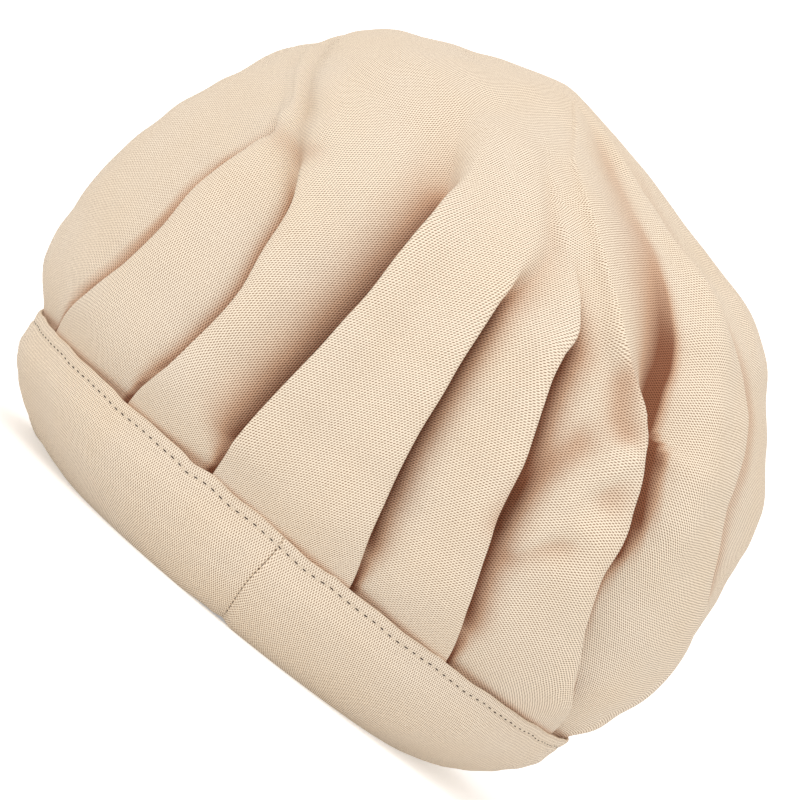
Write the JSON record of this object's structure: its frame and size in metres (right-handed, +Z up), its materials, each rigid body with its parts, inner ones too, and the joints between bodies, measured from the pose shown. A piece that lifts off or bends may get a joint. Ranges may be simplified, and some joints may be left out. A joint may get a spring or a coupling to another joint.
{
  "type": "pleated cloth work cap",
  "caption": "A soft round cap: a puffed crown of woven cloth, gathered in pleats onto a sewn headband, hollow and open below for a head.",
  "frame": {"origin": "under the middle of the cap's box, on the surface that the rim rests on", "axes": "+Z up to the peak, -Y out of the front, where the band's joint is, +X to the right of someone who looks at the front"},
  "size_m": [0.212, 0.218, 0.172],
  "materials": {
    "crown_cloth": "matte plain weave, beige",
    "band_cloth": "matte plain weave, beige, doubled and topstitched"
  },
  "bodies": {
    "root": {"crown": "crown_cloth", "band": "band_cloth"}
  },
  "joints": []
}
